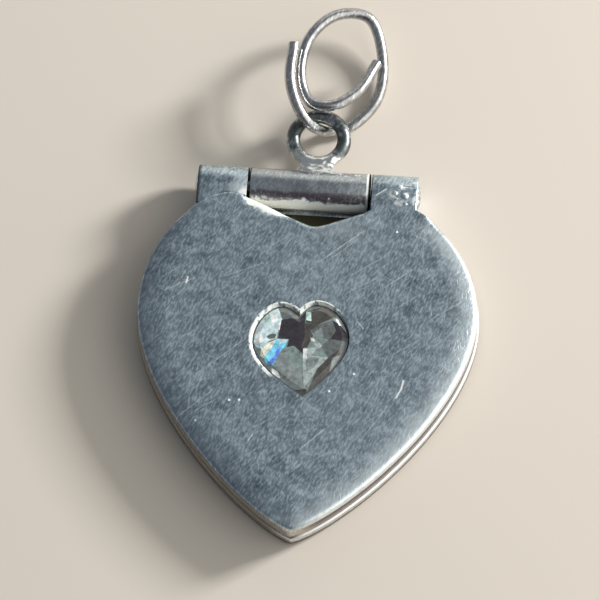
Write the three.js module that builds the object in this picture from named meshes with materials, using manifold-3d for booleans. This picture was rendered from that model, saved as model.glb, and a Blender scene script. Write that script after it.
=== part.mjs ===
// Heart locket pendant of silver, in millimetres.
// It lies on its back: +X right, +Y towards the hinge and the bail, +Z out of the front cover.
// The origin is the centre of the heart on the outside of the back cover.

import * as THREE from 'three';
import { mergeVertices } from 'three/addons/utils/BufferGeometryUtils.js';
import { ConvexGeometry } from 'three/addons/geometries/ConvexGeometry.js';
import Module from 'manifold-3d';

const wasm = await Module();
wasm.setup();

// Heart outline of the front cover, whose left lobe stands higher than the right one
const HEART_WIDTH = 24.1;
const HEART_HEIGHT = 24.8; // up to the top of the right lobe
const HEART_WIDEST = 16.45; // the widest line, above the tip
const HEART_CLEFT = 1.85; // depth of the cleft below the top of the right lobe
const LOBE_IN = 5.95; // top of a lobe, in from the side
const LEFT_LOBE_RISE = 0.4; // top of the left lobe, above that of the right one
const TIP_HALF_ANGLE = THREE.MathUtils.degToRad(74.5);
const TIP_ARM = 3.1;
const SIDE_ARM = 7.05;
const RIGHT_SHOULDER_ARM = 4.75;
const LEFT_SHOULDER_ARM = 5.75;
const RIGHT_LOBE_ARM = 2.1;
const LEFT_LOBE_ARM = 1.75;
const CLEFT_ARM = 1;

// Covers, each a plate with a strip of wall soldered round it
const BACK_PLATE = 0.7;
const BACK_WALL = 0.6;
const FRONT_WALL = 1.1;
const FRONT_PLATE = 0.7;
const WALL = 0.6;
const BACK_PROUD = 0.1; // the back cover stands out past the front one
const EDGE_ROUND = 0.3;
const SHOULDER_ROUND = 0.25;

// Bearer strip that stands on the back plate just inside the front wall, and its snap ridge
const BEARER = 0.5;
const BEARER_HEIGHT = 1.35;
const BEARER_GAP = 0.15;
const BEARER_END = 4.6; // it stops this far short of the hinge axis
const SNAP_RIDGE = 0.1;
const SNAP_LENGTH = 2.4;
const SNAP_HEIGHT = 0.3;
const SNAP_BELOW_TOP = 0.2;

// Hinge of three knuckles on one pin
const TUBE_RADIUS = 1.45;
const BORE_RADIUS = 0.58;
const PIN_RADIUS = 0.5;
const PIN_HEAD_RADIUS = 0.85;
const PIN_HEAD = 0.22;
const LEFT_KNUCKLE = 3.6;
const RIGHT_KNUCKLE = 3.3;
const KNUCKLE_GAP = 0.12;
const TUBE_LEFT_IN = 3.5; // left end of the tube, in from the side of the heart
const TUBE_RIGHT_IN = 4.86; // right end of the tube, in from the side of the heart
const AXIS_PAST_LOBES = 1.4; // hinge axis, past the tops of the lobes
const SEAT_BEHIND_AXIS = 1.9; // flat on the front cover that an outer knuckle is soldered to
const TAB_BEHIND_AXIS = 1.5; // end of the back plate's tab under the middle knuckle
const TUBE_RELIEF = 0.15;
const WEB_LIFT = 0.1; // an outer knuckle's web above the back wall

// Bail loop on a pad of solder on the middle knuckle
const LOOP_RADIUS = 1.83;
const LOOP_WIRE = 0.5;
const LOOP_X = -0.2;
const PAD_FLAT = 1.25; // flat filed on the knuckle, out from the hinge axis
const PAD_MARGIN = 0.1; // the flat reaches this far past the pad
const PAD_LENGTH = 3.4;
const PAD_WIDTH = 1.3;
const PAD_HEIGHT = 1.25;
const PAD_NARROWING = 0.35; // share of its width that the pad loses on its way up
const LOOP_RISE = 0.98; // middle of the loop's wire above the flat

// Split ring: one and a half turns of round wire, sprung open
const RING_LENGTH = 9.75;
const RING_WIRE = 0.4;
const RING_CLEARANCE = 0.1;
const RING_ROUTE = [
  [-2.2, 4.65, 2.15],
  [-2.3, 2.0, 2.0],
  [-1.75, 0.2, 1.7],
  [-1.0, -0.8, 1.1],
  [-0.05, -1.0, -0.05],
  [1.1, -0.5, -1.14],
  [2.25, -0.1, -1.07],
  [3.9, 2.05, -1.03],
  [4.1, 5.15, -0.7],
  [2.95, 7.9, 0.2],
  [0.7, 7.7, 0.9],
  [-1.15, 5.6, 1.3],
  [-1.6, 2.55, 1.25],
  [-0.75, 0.6, 1.1],
  [0.85, 0.5, 1.0],
  [2.55, 1.8, 0.75],
  [3.75, 4.35, 0.25],
];

// Heart stone in the front plate, with its outline built like the cover's
const STONE_WIDTH = 6.75;
const STONE_HEIGHT = 6.85;
const STONE_WIDEST = 4.25;
const STONE_LOBE_IN = 2.095; // top of a lobe, in from the side
const STONE_CLEFT = 0.75;
const STONE_TIP_HALF_ANGLE = THREE.MathUtils.degToRad(52);
const STONE_TIP_ARM = 1.1;
const STONE_SIDE_ARM = 1.78;
const STONE_SHOULDER_ARM = 1.37;
const STONE_LOBE_ARM = 0.88;
const STONE_CLEFT_ARM = 0.14;
const STONE_X = -0.2;
const STONE_Y = 0.95;
const STONE_TURN = THREE.MathUtils.degToRad(6);
const STONE_BELOW_FACE = 0.08; // table below the plate's face
const CROWN = 0.28;
const GIRDLE = 0.12;
const PAVILION = 1.35;
const CROWN_INSET = 1.1;
const TABLE_Y = 0.69; // middle of the table, above the middle of the stone
const KEEL_TOP = 0.82;
const KEEL_LOW = -0.41;
const KEEL_RISE = 0.16; // upper end of the keel, above its lowest point
const BEZEL = 0.22;
const BEZEL_GAP = 0.05;
const BEZEL_FLANGE = 0.45;
const BEZEL_FLANGE_THICKNESS = 0.25;
const BEZEL_LEDGE = 0.18;

// Window for a picture inside the back cover, and the frame that holds it
const FRAME_INSET = 1.5;
const FRAME_WALL = 0.22;
const FRAME_LIP = 0.8;
const FRAME_LIP_THICKNESS = 0.14;
const WINDOW = 0.25;
const WINDOW_GAP = 0.04;

// Levels and places worked out from the sizes
const SEAM_Z = BACK_PLATE + BACK_WALL;
const PLATE_Z = SEAM_Z + FRONT_WALL;
const TOP_Z = PLATE_Z + FRONT_PLATE;
const LOBE_Y = HEART_HEIGHT / 2;
const AXIS_Y = LOBE_Y + AXIS_PAST_LOBES;
const AXIS_Z = TOP_Z - TUBE_RADIUS;
const TUBE_LEFT = -HEART_WIDTH / 2 + TUBE_LEFT_IN;
const TUBE_RIGHT = HEART_WIDTH / 2 - TUBE_RIGHT_IN;
const LEFT_END = TUBE_LEFT + LEFT_KNUCKLE;
const RIGHT_START = TUBE_RIGHT - RIGHT_KNUCKLE;
const MIDDLE_START = LEFT_END + KNUCKLE_GAP;
const MIDDLE_END = RIGHT_START - KNUCKLE_GAP;
const LOOP_Y = AXIS_Y + PAD_FLAT + LOOP_RISE + LOOP_RADIUS;
const FAR = 40;

const CURVE_STEPS = 13;
const STONE_STEPS = 6;
const ROUND_STEPS = 3;
const PAD_STEPS = 4;
const DOME_STEPS = 3;

// Materials

function metal(name, color, roughness) {
  const material = new THREE.MeshStandardMaterial({ color, roughness, metalness: 1 });
  material.name = name;
  return material;
}

const satinSilver = () => metal('satin silver', 0x8d949c, 0.42);
const polishedSilver = () => metal('polished silver', 0xb9bcc0, 0.2);
const darkSilver = () => metal('darkened silver', 0x6c7176, 0.35);

// Solids

function solidOf(geometry) {
  const bare = geometry.clone();
  bare.deleteAttribute('normal');
  bare.deleteAttribute('uv');
  const merged = mergeVertices(bare, 1e-5);
  const mesh = new wasm.Mesh({
    numProp: 3,
    vertProperties: new Float32Array(merged.attributes.position.array),
    triVerts: new Uint32Array(merged.index.array),
  });
  return new wasm.Manifold(mesh);
}

function geometryOf(solid) {
  const mesh = solid.getMesh();
  const geometry = new THREE.BufferGeometry();
  geometry.setAttribute('position', new THREE.BufferAttribute(mesh.vertProperties, 3));
  geometry.setIndex(new THREE.BufferAttribute(mesh.triVerts, 1));
  geometry.computeVertexNormals();
  return geometry;
}

function piece(name, solid, material) {
  const mesh = new THREE.Mesh(geometryOf(solid), material);
  mesh.name = name;
  return mesh;
}

function box(low, high) {
  const size = high.map((value, axis) => value - low[axis]);
  const middle = high.map((value, axis) => (value + low[axis]) / 2);
  return solidOf(new THREE.BoxGeometry(...size).translate(...middle));
}

// A section drawn in Y and Z, drawn out along X from one place to another
function alongX(shape, start, end) {
  const geometry = new THREE.ExtrudeGeometry(shape, {
    depth: end - start,
    bevelEnabled: false,
    curveSegments: 28,
  });
  const turn = new THREE.Matrix4().set(0, 0, 1, start, 1, 0, 0, 0, 0, 1, 0, 0, 0, 0, 0, 1);
  return solidOf(geometry.applyMatrix4(turn));
}

function hingeCylinder(radius, start, end) {
  const shape = new THREE.Shape();
  shape.absarc(AXIS_Y, AXIS_Z, radius, 0, 2 * Math.PI, false);
  return alongX(shape, start, end);
}

// Outlines, as closed lists of points that run counter-clockwise from the tip

// The right half of a heart, from its tip to the last point before its cleft
function heartHalf(size) {
  const half = size.width / 2;
  const base = -size.height / 2;
  const widest = base + size.widest;
  const top = -base + size.rise;
  const lobeX = half - size.lobeIn;
  const tip = new THREE.Vector2(0, base);
  const side = new THREE.CubicBezierCurve(
    tip,
    new THREE.Vector2(size.tipArm * Math.sin(size.tipAngle), base + size.tipArm * Math.cos(size.tipAngle)),
    new THREE.Vector2(half, widest - size.sideArm),
    new THREE.Vector2(half, widest),
  );
  const shoulder = new THREE.CubicBezierCurve(
    side.v3,
    new THREE.Vector2(half, widest + size.shoulderArm),
    new THREE.Vector2(lobeX + size.lobeArm, top),
    new THREE.Vector2(lobeX, top),
  );
  const inner = new THREE.CubicBezierCurve(
    shoulder.v3,
    new THREE.Vector2(lobeX - size.lobeArm, top),
    new THREE.Vector2(size.cleftArm, -base - size.cleft),
    new THREE.Vector2(0, -base - size.cleft),
  );
  return [side, shoulder, inner].flatMap((curve) => curve.getPoints(size.steps).slice(0, -1));
}

function heart(right, left) {
  const mirrored = heartHalf(left).slice(1).reverse().map((point) => new THREE.Vector2(-point.x, point.y));
  return [...heartHalf(right), new THREE.Vector2(0, right.height / 2 - right.cleft), ...mirrored];
}

// Moves every point in along the outline's normal, and further at a corner, up to twice as far
function inset(outline, distance) {
  return outline.map((point, index) => {
    const before = outline[(index + outline.length - 1) % outline.length];
    const after = outline[(index + 1) % outline.length];
    const first = point.clone().sub(before).normalize();
    const second = after.clone().sub(point).normalize();
    const inward = new THREE.Vector2(-first.y - second.y, first.x + second.x).normalize();
    const stretch = distance / Math.max(0.5, inward.dot(new THREE.Vector2(-first.y, first.x)));
    return point.clone().addScaledVector(inward, stretch);
  });
}

// Where two stretches of an outline cross, or nothing
function crossing(from, to, start, end) {
  const along = to.clone().sub(from);
  const across = end.clone().sub(start);
  const away = start.clone().sub(from);
  const turn = along.cross(across);
  const share = away.cross(across) / turn;
  const other = away.cross(along) / turn;
  const meets = share > 0 && share < 1 && other > 0 && other < 1;
  return meets ? from.clone().addScaledVector(along, share) : null;
}

// The same for a deep move, in or out, without the loops that it makes at tight corners
function deepInset(outline, distance) {
  let points = inset(outline, distance);
  for (let first = 0; first < points.length; first += 1) {
    const ring = [...points.slice(first), ...points.slice(0, first)];
    for (let ahead = Math.floor(ring.length / 2); ahead > 1; ahead -= 1) {
      const meets = crossing(ring[0], ring[1], ring[ahead], ring[ahead + 1]);
      if (meets) {
        points = [meets, ...ring.slice(ahead + 1), ring[0]];
        first = -1;
        break;
      }
    }
  }
  return points;
}

function turned(outline, angle, x, y) {
  const centre = new THREE.Vector2();
  return outline.map((point) => point.clone().rotateAround(centre, angle).add(new THREE.Vector2(x, y)));
}

// A closed surface through a stack of level outlines that have as many points each
function stack(levels) {
  const count = levels[0].outline.length;
  const positions = levels.flatMap(({ outline, z }) => outline.flatMap((point) => [point.x, point.y, z]));
  const cap = THREE.ShapeUtils.triangulateShape(levels[0].outline, []);
  const lid = THREE.ShapeUtils.triangulateShape(levels.at(-1).outline, []);
  const last = (levels.length - 1) * count;
  const index = [];
  cap.forEach(([a, b, c]) => index.push(a, c, b));
  lid.forEach(([a, b, c]) => index.push(last + a, last + b, last + c));
  for (let level = 0; level < levels.length - 1; level += 1) {
    for (let i = 0; i < count; i += 1) {
      const a = level * count + i;
      const b = level * count + ((i + 1) % count);
      index.push(a, b, b + count, a, b + count, a + count);
    }
  }
  const geometry = new THREE.BufferGeometry();
  geometry.setAttribute('position', new THREE.Float32BufferAttribute(positions, 3));
  geometry.setIndex(index);
  return geometry;
}

function prism(outline, low, high) {
  const levels = [low, high].map((z) => ({ outline, z }));
  return solidOf(stack(levels));
}

// Levels from the wall in to the face of a slab, round its edge; a negative round is on the lower side
function roundLevels(outline, face, round) {
  const levels = [];
  for (let step = 0; step <= ROUND_STEPS; step += 1) {
    const angle = (step / ROUND_STEPS) * (Math.PI / 2);
    const level = inset(outline, Math.abs(round) * (1 - Math.cos(angle)));
    levels.push({ outline: level, z: face - round * (1 - Math.sin(angle)) });
  }
  return levels;
}

function slabRoundedAbove(outline, low, high, round) {
  return solidOf(stack([{ outline, z: low }, ...roundLevels(outline, high, round)]));
}

function slabRoundedBelow(outline, low, high, round) {
  return solidOf(stack([...roundLevels(outline, low, -round).reverse(), { outline, z: high }]));
}

const rightHalf = {
  width: HEART_WIDTH,
  height: HEART_HEIGHT,
  widest: HEART_WIDEST,
  lobeIn: LOBE_IN,
  rise: 0,
  cleft: HEART_CLEFT,
  tipAngle: TIP_HALF_ANGLE,
  tipArm: TIP_ARM,
  sideArm: SIDE_ARM,
  shoulderArm: RIGHT_SHOULDER_ARM,
  lobeArm: RIGHT_LOBE_ARM,
  cleftArm: CLEFT_ARM,
  steps: CURVE_STEPS,
};
const leftHalf = {
  ...rightHalf,
  rise: LEFT_LOBE_RISE,
  shoulderArm: LEFT_SHOULDER_ARM,
  lobeArm: LEFT_LOBE_ARM,
};
const heartOutline = heart(rightHalf, leftHalf);
const backOutline = inset(heartOutline, -BACK_PROUD);

const stoneHalfSize = {
  width: STONE_WIDTH,
  height: STONE_HEIGHT,
  widest: STONE_WIDEST,
  lobeIn: STONE_LOBE_IN,
  rise: 0,
  cleft: STONE_CLEFT,
  tipAngle: STONE_TIP_HALF_ANGLE,
  tipArm: STONE_TIP_ARM,
  sideArm: STONE_SIDE_ARM,
  shoulderArm: STONE_SHOULDER_ARM,
  lobeArm: STONE_LOBE_ARM,
  cleftArm: STONE_CLEFT_ARM,
  steps: STONE_STEPS,
};
const uprightStone = heart(stoneHalfSize, stoneHalfSize);
const stoneOutline = turned(uprightStone, STONE_TURN, STONE_X, STONE_Y);

// Back cover

// A tab fills the cleft and ends in a flat that the middle knuckle's web is soldered to
function backPlate() {
  const seatY = AXIS_Y - TAB_BEHIND_AXIS;
  const plate = slabRoundedBelow(backOutline, 0, BACK_PLATE, SHOULDER_ROUND);
  const tab = box([MIDDLE_START, LOBE_Y - HEART_CLEFT - WALL, 0], [MIDDLE_END, seatY, BACK_PLATE]);
  const pastSeat = box([LEFT_END, seatY, -FAR], [RIGHT_START, FAR, FAR]);
  const relief = hingeCylinder(TUBE_RADIUS + TUBE_RELIEF, -FAR, FAR);
  return piece('back_plate', plate.add(tab).subtract(pastSeat).subtract(relief), satinSilver());
}

function backWall() {
  const strip = slabRoundedAbove(backOutline, BACK_PLATE, SEAM_Z, SHOULDER_ROUND);
  const hollow = prism(deepInset(heartOutline, WALL), 0, TOP_Z);
  const relief = hingeCylinder(TUBE_RADIUS + TUBE_RELIEF, -FAR, FAR);
  return piece('back_wall', strip.subtract(hollow).subtract(relief), polishedSilver());
}

function bearer() {
  const outer = deepInset(heartOutline, WALL + BEARER_GAP);
  const top = BACK_PLATE + BEARER_HEIGHT;
  const strip = prism(outer, BACK_PLATE, top);
  const hollow = prism(deepInset(heartOutline, WALL + BEARER_GAP + BEARER), 0, TOP_Z);
  const hingeSide = box([-FAR, AXIS_Y - BEARER_END, 0], [FAR, FAR, TOP_Z]);
  const ridgeTop = top - SNAP_BELOW_TOP;
  const swollen = prism(deepInset(heartOutline, WALL + BEARER_GAP - SNAP_RIDGE), ridgeTop - SNAP_HEIGHT, ridgeTop);
  const tipZone = box([-SNAP_LENGTH / 2, -FAR, 0], [SNAP_LENGTH / 2, 0, TOP_Z]);
  const ridge = swollen.intersect(tipZone);
  return piece('bearer', strip.add(ridge).subtract(hollow).subtract(hingeSide), satinSilver());
}

function middleKnuckle() {
  const seatY = AXIS_Y - TAB_BEHIND_AXIS;
  const webTop = Math.asin((BACK_PLATE - AXIS_Z) / TUBE_RADIUS);
  const shape = new THREE.Shape();
  shape.moveTo(seatY, AXIS_Z - TUBE_RADIUS);
  shape.lineTo(AXIS_Y, AXIS_Z - TUBE_RADIUS);
  shape.absarc(AXIS_Y, AXIS_Z, TUBE_RADIUS, -Math.PI / 2, Math.PI - webTop, false);
  shape.lineTo(seatY, BACK_PLATE);
  const bore = hingeCylinder(BORE_RADIUS, -FAR, FAR);
  const padHalf = PAD_LENGTH / 2 + PAD_MARGIN;
  const flat = box(
    [LOOP_X - padHalf, AXIS_Y + PAD_FLAT, AXIS_Z - TUBE_RADIUS],
    [LOOP_X + padHalf, FAR, AXIS_Z + TUBE_RADIUS],
  );
  const knuckle = alongX(shape, MIDDLE_START, MIDDLE_END).subtract(bore).subtract(flat);
  return piece('middle_knuckle', knuckle, polishedSilver());
}

// The loop lies in the plane of the heart, and its foot is a pad of solder that narrows upwards
function bailLoop() {
  const wire = new THREE.TorusGeometry(LOOP_RADIUS, LOOP_WIRE, 14, 44);
  wire.translate(LOOP_X, LOOP_Y, AXIS_Z);
  const levels = [];
  for (let step = 0; step <= PAD_STEPS; step += 1) {
    const share = step / PAD_STEPS;
    const narrow = 1 - PAD_NARROWING * Math.sin((share * Math.PI) / 2);
    const ellipse = new THREE.EllipseCurve(0, 0, (PAD_LENGTH / 2) * narrow, (PAD_WIDTH / 2) * narrow);
    levels.push({ outline: ellipse.getPoints(28).slice(0, -1), z: share * PAD_HEIGHT });
  }
  const foot = stack(levels);
  foot.rotateX(-Math.PI / 2).translate(LOOP_X, AXIS_Y + PAD_FLAT, AXIS_Z);
  return piece('bail_loop', solidOf(wire).add(solidOf(foot)), darkSilver());
}

function pictureWindow() {
  const outline = deepInset(heartOutline, FRAME_INSET + FRAME_WALL + WINDOW_GAP);
  const material = new THREE.MeshStandardMaterial({ color: 0xdfe8ea, roughness: 0.08, metalness: 0 });
  material.name = 'clear sheet';
  material.transparent = true;
  material.opacity = 0.35;
  return piece('picture_window', prism(outline, BACK_PLATE, BACK_PLATE + WINDOW), material);
}

function pictureFrame() {
  const under = BACK_PLATE + WINDOW + WINDOW_GAP;
  const top = under + FRAME_LIP_THICKNESS;
  const rim = prism(deepInset(heartOutline, FRAME_INSET), BACK_PLATE, top);
  const pocket = prism(deepInset(heartOutline, FRAME_INSET + FRAME_WALL), 0, under);
  const opening = prism(deepInset(heartOutline, FRAME_INSET + FRAME_WALL + FRAME_LIP), 0, TOP_Z);
  return piece('picture_frame', rim.subtract(pocket).subtract(opening), polishedSilver());
}

// Front cover

// What the hinge takes away from the front cover: a flat for each outer knuckle's web,
// and a hollow that the middle knuckle turns in
function hingeCuts() {
  const seatY = AXIS_Y - SEAT_BEHIND_AXIS;
  const left = box([-FAR, seatY, 0], [LEFT_END, FAR, FAR]);
  const right = box([RIGHT_START, seatY, 0], [FAR, FAR, FAR]);
  const hollow = hingeCylinder(TUBE_RADIUS + TUBE_RELIEF, LEFT_END, RIGHT_START);
  return left.add(right).add(hollow);
}

function frontPlate() {
  const plate = slabRoundedAbove(heartOutline, PLATE_Z, TOP_Z, EDGE_ROUND);
  const opening = prism(deepInset(stoneOutline, -BEZEL - 2 * BEZEL_GAP), 0, FAR);
  return piece('front_plate', plate.subtract(opening).subtract(hingeCuts()), satinSilver());
}

function frontWall() {
  const strip = prism(heartOutline, SEAM_Z, PLATE_Z);
  const hollow = prism(deepInset(heartOutline, WALL), 0, TOP_Z);
  return piece('front_wall', strip.subtract(hollow).subtract(hingeCuts()), satinSilver());
}

// A tube with a web that runs from its top to the plate, filed flush with the plate's face
function outerKnuckle(name, start, end) {
  const seatY = AXIS_Y - SEAT_BEHIND_AXIS;
  const webBottom = SEAM_Z + WEB_LIFT;
  const meets = Math.PI - Math.asin((webBottom - AXIS_Z) / TUBE_RADIUS);
  const shape = new THREE.Shape();
  shape.moveTo(seatY, TOP_Z);
  shape.lineTo(seatY, webBottom);
  shape.absarc(AXIS_Y, AXIS_Z, TUBE_RADIUS, meets, 2.5 * Math.PI, false);
  const bore = hingeCylinder(BORE_RADIUS, -FAR, FAR);
  return piece(name, alongX(shape, start, end).subtract(bore), satinSilver());
}

// A pin with both ends peened over into low domes
function hingePin() {
  const length = TUBE_RIGHT - TUBE_LEFT;
  const left = [];
  const right = [];
  for (let step = 0; step <= DOME_STEPS; step += 1) {
    const angle = (step / DOME_STEPS) * (Math.PI / 2);
    const radius = PIN_HEAD_RADIUS * Math.sin(angle);
    const height = PIN_HEAD * Math.cos(angle);
    left.push(new THREE.Vector2(radius, -height));
    right.unshift(new THREE.Vector2(radius, length + height));
  }
  const shank = [new THREE.Vector2(PIN_RADIUS, 0), new THREE.Vector2(PIN_RADIUS, length)];
  const geometry = new THREE.LatheGeometry([...left, ...shank, ...right], 20);
  geometry.rotateZ(-Math.PI / 2).translate(TUBE_LEFT, AXIS_Y, AXIS_Z);
  return piece('hinge_pin', solidOf(geometry), darkSilver());
}

// A thin collar through the plate, with a flange under the plate and a ledge under the stone
function stoneBezel() {
  const under = PLATE_Z - BEZEL_FLANGE_THICKNESS;
  const collar = prism(deepInset(stoneOutline, -BEZEL - BEZEL_GAP), under, TOP_Z);
  const flange = prism(deepInset(stoneOutline, -BEZEL - BEZEL_GAP - BEZEL_FLANGE), under, PLATE_Z);
  const seat = prism(deepInset(stoneOutline, -BEZEL_GAP), PLATE_Z, FAR);
  const throat = prism(deepInset(stoneOutline, BEZEL_LEDGE), 0, FAR);
  return piece('stone_bezel', collar.add(flange).subtract(seat).subtract(throat), polishedSilver());
}

// Each half of the stone is the hull of its girdle, its table and its keel
function stoneHalf(outline) {
  const tableZ = TOP_Z - STONE_BELOW_FACE;
  const girdleTop = tableZ - CROWN;
  const girdleLow = girdleTop - GIRDLE;
  const culetZ = girdleLow - PAVILION;
  const middle = new THREE.Vector2(0, TABLE_Y);
  const points = [
    new THREE.Vector3(0, KEEL_TOP, culetZ + KEEL_RISE),
    new THREE.Vector3(0, KEEL_LOW, culetZ),
  ];
  outline.forEach((point, index) => {
    points.push(new THREE.Vector3(point.x, point.y, girdleTop));
    points.push(new THREE.Vector3(point.x, point.y, girdleLow));
    if (index % 2 === 0) {
      const away = point.clone().sub(middle);
      const table = away.setLength(Math.max(0, away.length() - CROWN_INSET)).add(middle);
      points.push(new THREE.Vector3(table.x, table.y, tableZ));
    }
  });
  const geometry = new ConvexGeometry(points);
  geometry.rotateZ(STONE_TURN).translate(STONE_X, STONE_Y, 0);
  return solidOf(geometry);
}

function heartStone() {
  const right = stoneHalf(uprightStone.filter((point) => point.x >= 0));
  const left = stoneHalf(uprightStone.filter((point) => point.x <= 0));
  const material = new THREE.MeshStandardMaterial({ color: 0xe6eeee, roughness: 0.02, metalness: 0 });
  material.name = 'clear cut stone';
  material.transparent = true;
  material.opacity = 0.5;
  return piece('heart_stone', right.add(left), material);
}

// Split ring

// Keeps the ring's wire clear of the loop's wire, which it is threaded through.
// Points are measured from the middle of the loop's wire at its far end.
function clearOfLoop(point) {
  const centre = new THREE.Vector3(0, -LOOP_RADIUS, 0);
  const level = new THREE.Vector3(point.x, point.y, 0).sub(centre).setLength(LOOP_RADIUS).add(centre);
  const away = point.clone().sub(level);
  const least = LOOP_WIRE + RING_WIRE + RING_CLEARANCE;
  if (away.length() < least) away.setLength(least);
  return level.add(away);
}

function splitRing() {
  const reach = RING_ROUTE.map(([, y]) => y);
  const scale = (RING_LENGTH - 2 * RING_WIRE) / (Math.max(...reach) - Math.min(...reach));
  const route = new THREE.CatmullRomCurve3(
    RING_ROUTE.map(([x, y, z]) => new THREE.Vector3(x, y, z).multiplyScalar(scale)),
  );
  const eased = new THREE.CatmullRomCurve3(route.getPoints(64).map(clearOfLoop));
  const section = new THREE.Shape();
  section.absarc(0, 0, RING_WIRE, 0, 2 * Math.PI, false);
  const geometry = new THREE.ExtrudeGeometry(section, {
    steps: 96,
    curveSegments: 6,
    bevelEnabled: false,
    extrudePath: eased,
  });
  return piece('split_ring', solidOf(geometry), polishedSilver());
}

// Assembly

const backCover = new THREE.Group();
backCover.add(backPlate());
backCover.add(backWall());
backCover.add(bearer());
backCover.add(middleKnuckle());
backCover.add(bailLoop());
backCover.add(pictureWindow());
backCover.add(pictureFrame());

const frontCover = new THREE.Group();
frontCover.add(frontPlate());
frontCover.add(frontWall());
frontCover.add(outerKnuckle('left_knuckle', TUBE_LEFT, LEFT_END));
frontCover.add(outerKnuckle('right_knuckle', RIGHT_START, TUBE_RIGHT));
frontCover.add(hingePin());
frontCover.add(stoneBezel());
frontCover.add(heartStone());

const ring = new THREE.Group();
ring.position.set(LOOP_X, LOOP_Y + LOOP_RADIUS, AXIS_Z);
ring.add(splitRing());

const locket = new THREE.Group();
locket.add(backCover, frontCover, ring);

export default locket;
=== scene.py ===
import math
import bpy
import numpy as np
from mathutils import Matrix, Vector, geometry, noise


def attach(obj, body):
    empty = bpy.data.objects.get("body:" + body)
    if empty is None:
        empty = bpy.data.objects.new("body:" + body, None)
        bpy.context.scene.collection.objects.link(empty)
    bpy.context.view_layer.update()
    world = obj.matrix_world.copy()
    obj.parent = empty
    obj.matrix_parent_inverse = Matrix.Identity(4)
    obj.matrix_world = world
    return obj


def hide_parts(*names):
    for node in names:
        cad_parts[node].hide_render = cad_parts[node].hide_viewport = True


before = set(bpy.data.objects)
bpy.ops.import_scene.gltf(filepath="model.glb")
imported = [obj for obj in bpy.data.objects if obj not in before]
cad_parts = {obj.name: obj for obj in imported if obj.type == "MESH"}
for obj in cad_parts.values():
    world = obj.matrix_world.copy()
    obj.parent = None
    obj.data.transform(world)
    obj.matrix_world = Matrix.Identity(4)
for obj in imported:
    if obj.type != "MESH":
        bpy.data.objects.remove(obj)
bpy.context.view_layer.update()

# Back plate: a flat heart of silver sheet, sawn out and filed, with its lower edge worn round.
# A tab fills the cleft and ends under the hinge, where the middle knuckle is soldered to it.
# Pieces are drawn in millimetres here, and settle() brings each one to its place in metres.
HEART = dict(width=24.1, height=24.8, widest=16.45, lobe_in=5.95, rise=0.0, cleft=1.85,
             tip_angle=74.5, tip_arm=3.1, side_arm=7.05, shoulder_arm=4.75, lobe_arm=2.1, cleft_arm=1.0)
LEFT_HALF = dict(HEART, rise=0.4, shoulder_arm=5.75, lobe_arm=1.75)
BACK_PLATE = 0.7
BACK_PROUD = 0.1
AXIS_Y, AXIS_Z = 13.8, 1.65
TUBE, RELIEF = 1.45, 0.15
LEFT_END, MIDDLE_START, MIDDLE_END, RIGHT_START = -4.95, -4.83, 3.77, 3.89
BACK_ROUND, ROUND_STEPS = 0.35, 5
TAB_ROOT_Y, TAB_Y = 9.5, 12.3
FILED = 0.04
SIDE_STEPS, LONGEST_LOOP = 36, 16
LEAST_SLANT, LEAST_MOVE, SAME_PLACE = 0.5, 0.985, 0.002
FAR = 40.0


def bend(start, first, second, end, steps):
    """Points along one curved stretch of an outline, up to just before its end."""
    shares = [step / steps for step in range(steps)]
    return [start * (1 - t) ** 3 + first * 3 * t * (1 - t) ** 2
            + second * 3 * t * t * (1 - t) + end * t ** 3 for t in shares]


def heart_half(size, steps):
    """The right half of a heart, from its tip to the last point before its cleft."""
    base, half = -size["height"] / 2, size["width"] / 2
    angle = math.radians(size["tip_angle"])
    tip, side = Vector((0, base)), Vector((half, base + size["widest"]))
    crest, notch = Vector((half - size["lobe_in"], size["rise"] - base)), Vector((0, -base - size["cleft"]))
    outward = Vector((math.sin(angle), math.cos(angle)))
    over_lobe = Vector((size["lobe_arm"], 0))
    line = bend(tip, tip + size["tip_arm"] * outward, side - Vector((0, size["side_arm"])), side, steps)
    line += bend(side, side + Vector((0, size["shoulder_arm"])), crest + over_lobe, crest, steps)
    line += bend(crest, crest - over_lobe, notch + Vector((size["cleft_arm"], 0)), notch, steps)
    return line


def heart_outline(right, left, steps):
    """A closed heart, counter-clockwise from its tip."""
    notch = Vector((0, right["height"] / 2 - right["cleft"]))
    mirrored = [Vector((-point.x, point.y)) for point in reversed(heart_half(left, steps)[1:])]
    return heart_half(right, steps) + [notch] + mirrored


def distances(places, outline):
    """How far each place is from a closed outline."""
    points = np.array([point[:] for point in outline])
    along = np.roll(points, -1, 0) - points
    away = np.array([place[:] for place in places])[:, None] - points[None]
    share = np.clip((away * along[None]).sum(2) / (along ** 2).sum(1)[None], 0, 1)
    return np.linalg.norm(away - share[..., None] * along[None], axis=2).min(1)


def uncrossed(outline):
    """The closed outline without the small loops in which it crosses itself."""
    start = len(outline) // 4
    line = outline[start:] + outline[:start + 1]
    made, place = [], 0
    while place < len(line) - 1:
        made.append(line[place])
        onward = place + 1
        for other in range(min(place + LONGEST_LOOP, len(line) - 2), place + 1, -1):
            spot = geometry.intersect_line_line_2d(*line[place:place + 2], *line[other:other + 2])
            if spot:
                made.append(spot)
                onward = other + 1
                break
        place = onward
    return made


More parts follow.
